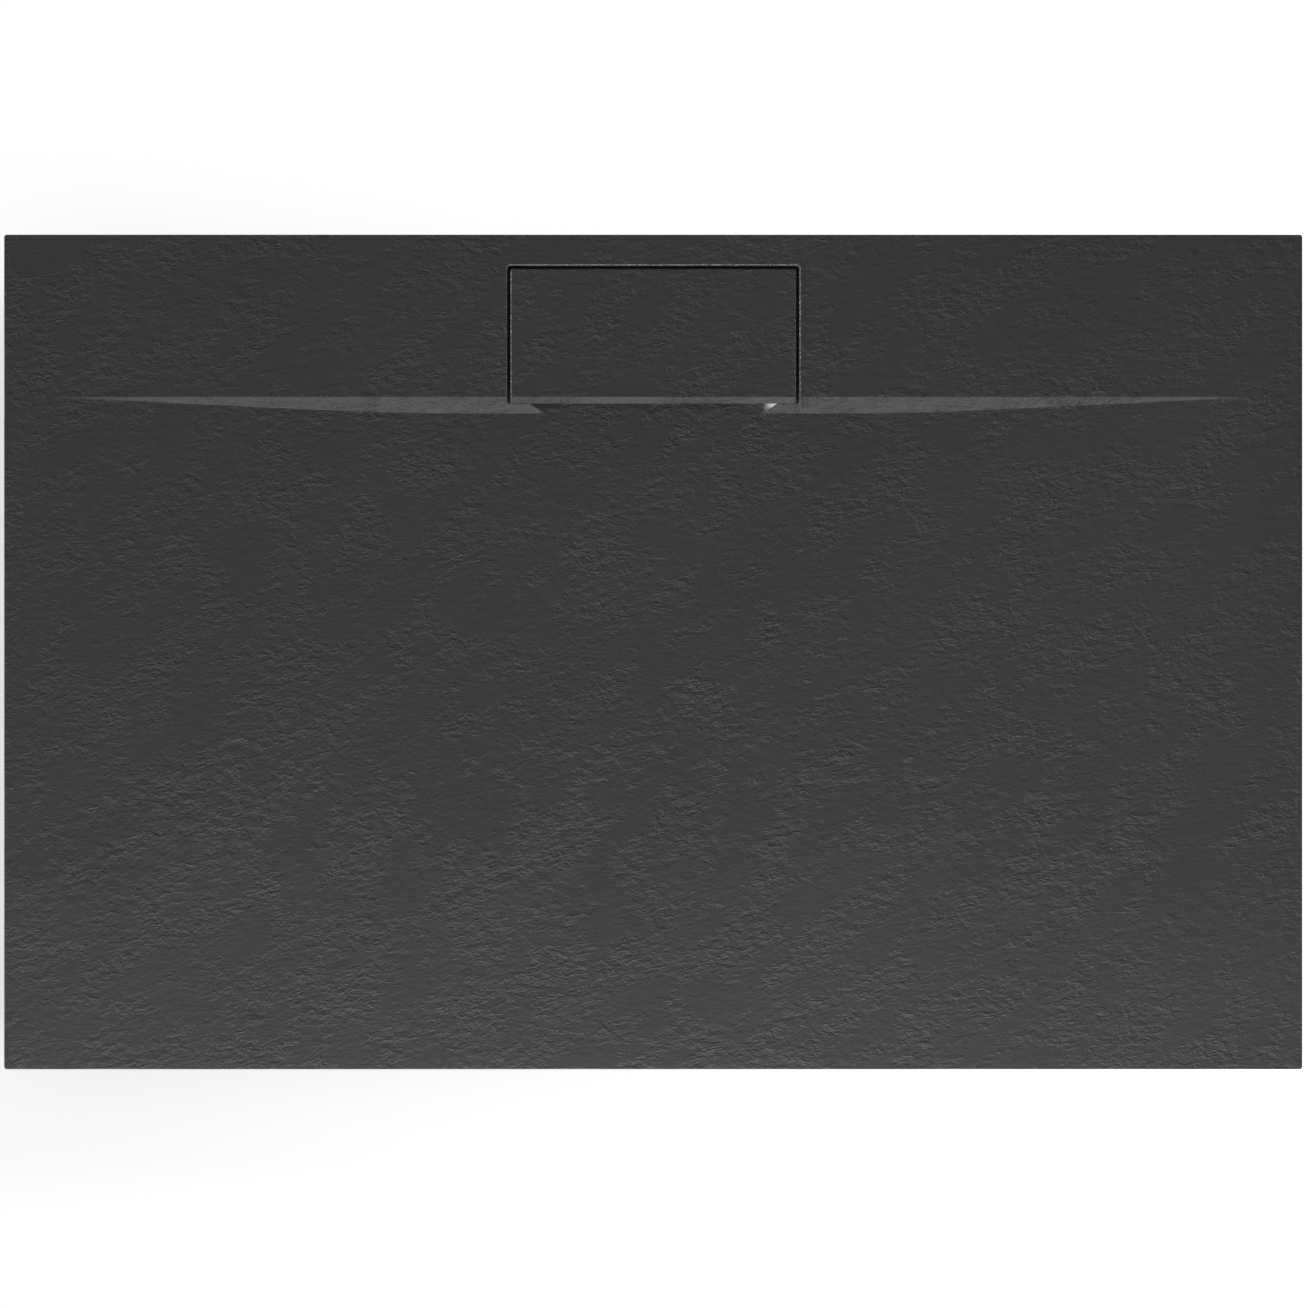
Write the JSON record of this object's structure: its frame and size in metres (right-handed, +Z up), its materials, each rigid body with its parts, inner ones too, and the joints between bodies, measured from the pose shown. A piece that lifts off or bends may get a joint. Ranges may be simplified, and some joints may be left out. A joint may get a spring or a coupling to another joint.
{
  "type": "shower tray",
  "caption": "Rectangular slate-effect shower tray with a rear shelf, a falling floor, a lift-out drain cover over a low trap, and levelling feet.",
  "frame": {"origin": "On the room floor under the middle of the tray, at the foot pads' undersides.", "axes": "+Z up, +X along the long side, +Y from the front edge towards the covered drain."},
  "size_m": [1.4, 0.9, 0.105],
  "materials": {
    "slate_composite": "matt anthracite slate-effect gel coat on a mineral composite",
    "silicone": "soft black silicone",
    "stainless": "brushed stainless steel",
    "screw_steel": "plain stainless screw steel",
    "seal_rubber": "black sealing rubber",
    "trap_plastic": "off-white moulded polypropylene",
    "insert_plastic": "grey moulded polypropylene",
    "nut_plastic": "black moulded polypropylene",
    "foot_plastic": "black moulded polyamide",
    "zinc_steel": "bright zinc-plated steel"
  },
  "bodies": {
    "tray": {"tray_body": "slate_composite", "cover_bumpers": "silicone", "waste_flange": "stainless", "clamp_screws": "screw_steel", "flange_seal": "seal_rubber", "body_seal": "seal_rubber", "trap_body": "trap_plastic", "trap_base": "trap_plastic", "trap_weir": "trap_plastic", "outlet_seal": "seal_rubber", "outlet_nut": "nut_plastic", "socket_screws": "screw_steel", "foot_socket_front_left": "foot_plastic", "foot_socket_front_centre": "foot_plastic", "foot_socket_front_right": "foot_plastic", "foot_socket_middle_left": "foot_plastic", "foot_socket_middle_centre": "foot_plastic", "foot_socket_middle_right": "foot_plastic", "foot_socket_back_left": "foot_plastic", "foot_socket_back_right": "foot_plastic", "lock_nut_front_left": "zinc_steel", "lock_nut_front_centre": "zinc_steel", "lock_nut_front_right": "zinc_steel", "lock_nut_middle_left": "zinc_steel", "lock_nut_middle_centre": "zinc_steel", "lock_nut_middle_right": "zinc_steel", "lock_nut_back_left": "zinc_steel", "lock_nut_back_right": "zinc_steel"},
    "cover": {"waste_cover": "slate_composite"},
    "strainer": {"hair_strainer": "stainless"},
    "insert": {"trap_insert": "insert_plastic", "insert_o_ring": "seal_rubber"},
    "pad_front_left": {"foot_pad_front_left": "foot_plastic"},
    "spindle_front_left": {"foot_spindle_front_left": "zinc_steel"},
    "pad_front_centre": {"foot_pad_front_centre": "foot_plastic"},
    "spindle_front_centre": {"foot_spindle_front_centre": "zinc_steel"},
    "pad_front_right": {"foot_pad_front_right": "foot_plastic"},
    "spindle_front_right": {"foot_spindle_front_right": "zinc_steel"},
    "pad_middle_left": {"foot_pad_middle_left": "foot_plastic"},
    "spindle_middle_left": {"foot_spindle_middle_left": "zinc_steel"},
    "pad_middle_centre": {"foot_pad_middle_centre": "foot_plastic"},
    "spindle_middle_centre": {"foot_spindle_middle_centre": "zinc_steel"},
    "pad_middle_right": {"foot_pad_middle_right": "foot_plastic"},
    "spindle_middle_right": {"foot_spindle_middle_right": "zinc_steel"},
    "pad_back_left": {"foot_pad_back_left": "foot_plastic"},
    "spindle_back_left": {"foot_spindle_back_left": "zinc_steel"},
    "pad_back_right": {"foot_pad_back_right": "foot_plastic"},
    "spindle_back_right": {"foot_spindle_back_right": "zinc_steel"}
  },
  "joints": [
    {"name": "cover_lift", "type": "slide", "parent": "tray", "child": "cover", "axis": [0, 0, 1], "range_m": [0, 0.3]},
    {"name": "strainer_lift", "type": "slide", "parent": "tray", "child": "strainer", "axis": [0, 0, 1], "range_m": [0, 0.18]},
    {"name": "insert_lift", "type": "slide", "parent": "tray", "child": "insert", "axis": [0, 0, 1], "range_m": [0, 0.1]},
    {"name": "foot_height_front_left", "type": "slide", "parent": "tray", "child": "pad_front_left", "axis": [0, 0, -1], "range_m": [0, 0.0245]},
    {"name": "foot_turn_front_left", "type": "hinge", "parent": "pad_front_left", "child": "spindle_front_left", "pos_m": [-0.62, -0.37, 0.012], "axis": [0, 0, -1], "range_deg": [0, 5040]},
    {"name": "foot_height_front_centre", "type": "slide", "parent": "tray", "child": "pad_front_centre", "axis": [0, 0, -1], "range_m": [0, 0.0245]},
    {"name": "foot_turn_front_centre", "type": "hinge", "parent": "pad_front_centre", "child": "spindle_front_centre", "pos_m": [0, -0.37, 0.012], "axis": [0, 0, -1], "range_deg": [0, 5040]},
    {"name": "foot_height_front_right", "type": "slide", "parent": "tray", "child": "pad_front_right", "axis": [0, 0, -1], "range_m": [0, 0.0245]},
    {"name": "foot_turn_front_right", "type": "hinge", "parent": "pad_front_right", "child": "spindle_front_right", "pos_m": [0.62, -0.37, 0.012], "axis": [0, 0, -1], "range_deg": [0, 5040]},
    {"name": "foot_height_middle_left", "type": "slide", "parent": "tray", "child": "pad_middle_left", "axis": [0, 0, -1], "range_m": [0, 0.0245]},
    {"name": "foot_turn_middle_left", "type": "hinge", "parent": "pad_middle_left", "child": "spindle_middle_left", "pos_m": [-0.62, 0, 0.012], "axis": [0, 0, -1], "range_deg": [0, 5040]},
    {"name": "foot_height_middle_centre", "type": "slide", "parent": "tray", "child": "pad_middle_centre", "axis": [0, 0, -1], "range_m": [0, 0.0245]},
    {"name": "foot_turn_middle_centre", "type": "hinge", "parent": "pad_middle_centre", "child": "spindle_middle_centre", "pos_m": [0, 0, 0.012], "axis": [0, 0, -1], "range_deg": [0, 5040]},
    {"name": "foot_height_middle_right", "type": "slide", "parent": "tray", "child": "pad_middle_right", "axis": [0, 0, -1], "range_m": [0, 0.0245]},
    {"name": "foot_turn_middle_right", "type": "hinge", "parent": "pad_middle_right", "child": "spindle_middle_right", "pos_m": [0.62, 0, 0.012], "axis": [0, 0, -1], "range_deg": [0, 5040]},
    {"name": "foot_height_back_left", "type": "slide", "parent": "tray", "child": "pad_back_left", "axis": [0, 0, -1], "range_m": [0, 0.0245]},
    {"name": "foot_turn_back_left", "type": "hinge", "parent": "pad_back_left", "child": "spindle_back_left", "pos_m": [-0.62, 0.37, 0.012], "axis": [0, 0, -1], "range_deg": [0, 5040]},
    {"name": "foot_height_back_right", "type": "slide", "parent": "tray", "child": "pad_back_right", "axis": [0, 0, -1], "range_m": [0, 0.0245]},
    {"name": "foot_turn_back_right", "type": "hinge", "parent": "pad_back_right", "child": "spindle_back_right", "pos_m": [0.62, 0.37, 0.012], "axis": [0, 0, -1], "range_deg": [0, 5040]}
  ],
  "couplings": [
    {"joint": "strainer_lift", "follows": "cover_lift", "ratio": 0.6},
    {"joint": "insert_lift", "follows": "cover_lift", "ratio": 0.333},
    {"joint": "foot_turn_front_left", "follows": "foot_height_front_left", "rad_per_m": 3590.4},
    {"joint": "foot_turn_front_centre", "follows": "foot_height_front_centre", "rad_per_m": 3590.4},
    {"joint": "foot_turn_front_right", "follows": "foot_height_front_right", "rad_per_m": 3590.4},
    {"joint": "foot_turn_middle_left", "follows": "foot_height_middle_left", "rad_per_m": 3590.4},
    {"joint": "foot_turn_middle_centre", "follows": "foot_height_middle_centre", "rad_per_m": 3590.4},
    {"joint": "foot_turn_middle_right", "follows": "foot_height_middle_right", "rad_per_m": 3590.4},
    {"joint": "foot_turn_back_left", "follows": "foot_height_back_left", "rad_per_m": 3590.4},
    {"joint": "foot_turn_back_right", "follows": "foot_height_back_right", "rad_per_m": 3590.4}
  ]
}
